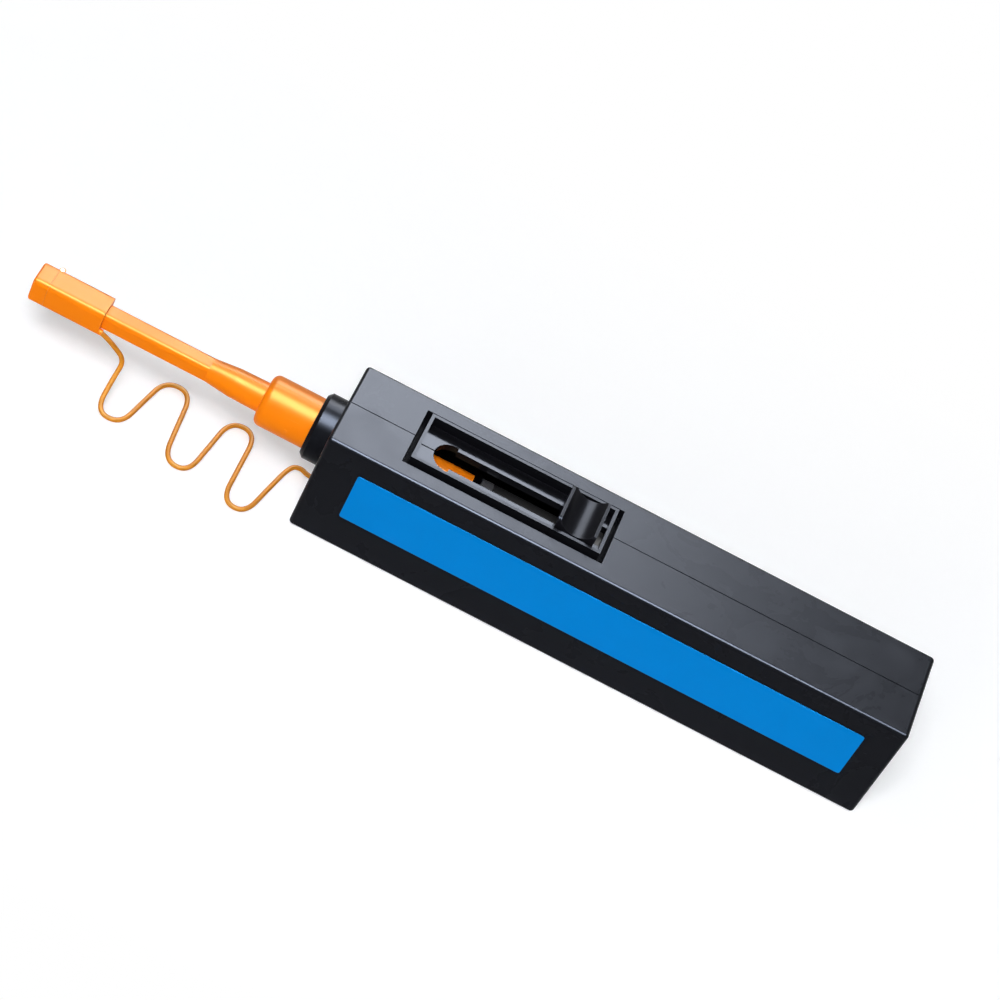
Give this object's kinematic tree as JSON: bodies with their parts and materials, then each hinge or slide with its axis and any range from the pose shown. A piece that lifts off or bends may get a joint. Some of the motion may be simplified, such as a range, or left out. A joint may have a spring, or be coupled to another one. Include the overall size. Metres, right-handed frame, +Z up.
{
  "type": "fibre connector cleaning pen",
  "caption": "Push-to-click cleaning pen for optical fibre connectors: square housing, thumb slider in a window, sprung nozzle, tethered guide cap with end lid.",
  "frame": {"origin": "middle of the housing's flat bottom face, on the seam between the two shells", "axes": "+X runs from the cleaning tip to the back of the housing, +Z is up through the window face, the label is on the -Y side"},
  "size_m": [0.1859, 0.0257, 0.0296],
  "materials": {
    "housing_plastic": "fine satin moulded texture",
    "collar_plastic": "satin",
    "label_film": "satin printed film",
    "tether_plastic": "smooth",
    "button_plastic": "satin",
    "inner_plastic": "smooth",
    "orange_plastic": "smooth semi-gloss",
    "grey_plastic": "smooth",
    "white_plastic": "smooth acetal",
    "steel": "drawn",
    "felt": "felt",
    "thread": "fine micro-fibre thread"
  },
  "bodies": {
    "housing": {"left_shell": "housing_plastic", "right_shell": "housing_plastic", "front_collar": "collar_plastic", "label": "label_film", "tether": "tether_plastic"},
    "slider": {"slider_button": "button_plastic", "reel_chassis": "inner_plastic", "take_up_axle": "steel", "supply_axle": "steel", "brake_washer": "felt"},
    "nozzle": {"nozzle": "orange_plastic", "retainer_ring": "grey_plastic", "carriage": "inner_plastic", "return_spring": "steel", "retaining_clip": "steel", "push_rack": "inner_plastic", "feed_thread": "thread", "return_thread": "thread"},
    "spindle": {"cleaning_spindle": "steel", "tip_thread": "thread"},
    "cap": {"guide_cap": "orange_plastic", "lid_pin": "steel"},
    "lid": {"cap_lid": "orange_plastic"},
    "gear": {"drive_gear": "white_plastic", "ratchet_pawl": "white_plastic"},
    "take_up": {"take_up_reel": "white_plastic", "used_thread": "thread"},
    "supply": {"supply_reel": "white_plastic", "fresh_thread": "thread"}
  },
  "joints": [
    {"name": "slider_extend", "type": "slide", "parent": "housing", "child": "slider", "axis": [-1, 0, 0], "range_m": [0, 0.027], "deforming": ["tether"]},
    {"name": "nozzle_push", "type": "slide", "parent": "slider", "child": "nozzle", "axis": [1, 0, 0], "range_m": [0, 0.008], "stiffness_N_per_m": 300, "springref_m": -0.004, "deforming": ["return_spring", "feed_thread", "return_thread", "tether"]},
    {"name": "spindle_turn", "type": "hinge", "parent": "nozzle", "child": "spindle", "pos_m": [-0.08, 0, 0.0165], "axis": [1, 0, 0], "range_deg": [0, 180]},
    {"name": "cap_pull", "type": "slide", "parent": "nozzle", "child": "cap", "axis": [-1, 0, 0], "range_m": [0, 0.02], "deforming": ["tether"]},
    {"name": "lid_hinge", "type": "hinge", "parent": "cap", "child": "lid", "pos_m": [-0.1211, 0.0032, 0.0165], "axis": [0, 0, -1], "range_deg": [0, 150]},
    {"name": "gear_turn", "type": "hinge", "parent": "slider", "child": "gear", "pos_m": [0.02985, 0, 0.01325], "axis": [0, 1, 0], "range_deg": [0, 77]},
    {"name": "take_up_turn", "type": "hinge", "parent": "slider", "child": "take_up", "pos_m": [0.02985, 0, 0.01325], "axis": [0, 1, 0], "range_deg": [0, 77]},
    {"name": "supply_turn", "type": "hinge", "parent": "slider", "child": "supply", "pos_m": [0.0491, 0, 0.01325], "axis": [0, 1, 0], "range_deg": [0, 55]}
  ],
  "couplings": [
    {"joint": "spindle_turn", "follows": "nozzle_push", "rad_per_m": 392.7},
    {"joint": "gear_turn", "follows": "nozzle_push", "rad_per_m": 166.67},
    {"joint": "take_up_turn", "follows": "nozzle_push", "rad_per_m": 166.67},
    {"joint": "supply_turn", "follows": "nozzle_push", "rad_per_m": 109.65}
  ]
}
